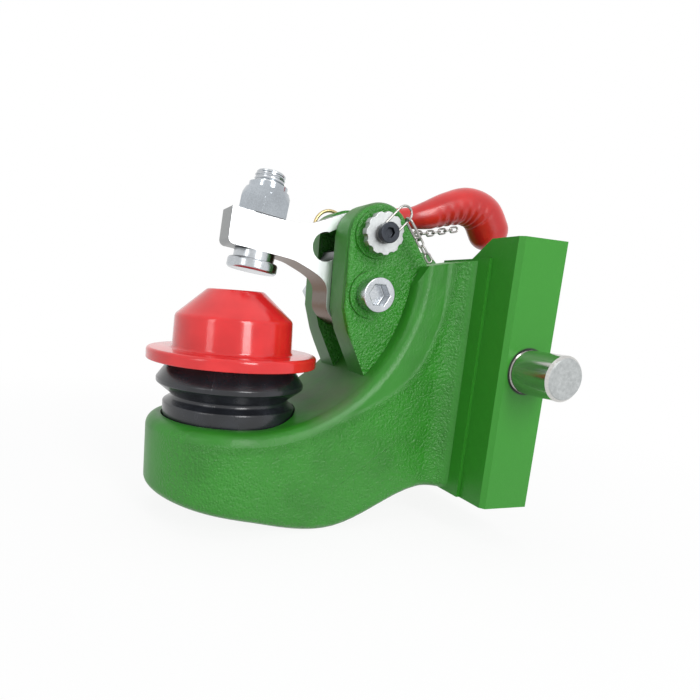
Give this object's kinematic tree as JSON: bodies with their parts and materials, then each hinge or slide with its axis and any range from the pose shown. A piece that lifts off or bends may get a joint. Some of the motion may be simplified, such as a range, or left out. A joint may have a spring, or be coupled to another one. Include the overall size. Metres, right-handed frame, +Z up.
{
  "type": "tractor ball hitch",
  "caption": "Cast ball hitch on a slide plate with a cross pin, capped coupling ball, rubber bellows and a hold-down lever with stud, grip and locking pin.",
  "frame": {"origin": "centre of the coupling ball", "axes": "+Z up along the ball's axis, +X from the ball towards the slide plate, -Y the side with the locking knob"},
  "size_m": [0.2904, 0.2542, 0.2607],
  "materials": {
    "green_paint": "glossy green paint over a sand-cast surface",
    "zinc_plate": "bright zinc plating",
    "bare_steel": "turned steel",
    "ball_steel": "machined and hardened steel",
    "red_plastic": "moulded red plastic",
    "red_grip": "dipped red plastic",
    "black_rubber": "moulded rubber",
    "black_steel": "black oxide",
    "bronze": "sintered bronze",
    "yellow_zinc": "yellow zinc plating"
  },
  "bodies": {
    "carrier": {"hitch_body": "green_paint", "coupling_ball": "ball_steel", "ball_washer": "zinc_plate", "ball_screw": "zinc_plate", "ball_cap": "red_plastic", "cap_bellows": "black_rubber", "pivot_bolt": "zinc_plate", "pivot_washer": "zinc_plate", "pivot_nut": "zinc_plate"},
    "lever": {"hold_down_lever": "zinc_plate", "pivot_bush": "bronze", "hold_down_stud": "zinc_plate", "stud_nut": "zinc_plate", "lever_grip": "red_grip", "grip_chain": "bare_steel"},
    "lock": {"locking_pin": "bare_steel", "locking_knob": "zinc_plate", "knob_screw": "black_steel", "pull_ring": "yellow_zinc", "wire_eye": "bare_steel", "snap_hook": "bare_steel", "tether_chain": "bare_steel"},
    "pin": {"cross_pin": "bare_steel"}
  },
  "joints": [
    {"name": "lever_swing", "type": "hinge", "parent": "carrier", "child": "lever", "pos_m": [0.0885, 0, 0.049], "axis": [0, 1, 0], "range_deg": [0, 40]},
    {"name": "lock_pin_push", "type": "slide", "parent": "carrier", "child": "lock", "axis": [0, 1, 0], "range_m": [0, 0.004]},
    {"name": "cross_pin_pull", "type": "slide", "parent": "carrier", "child": "pin", "axis": [0, -1, 0], "range_m": [0, 0.225]}
  ]
}
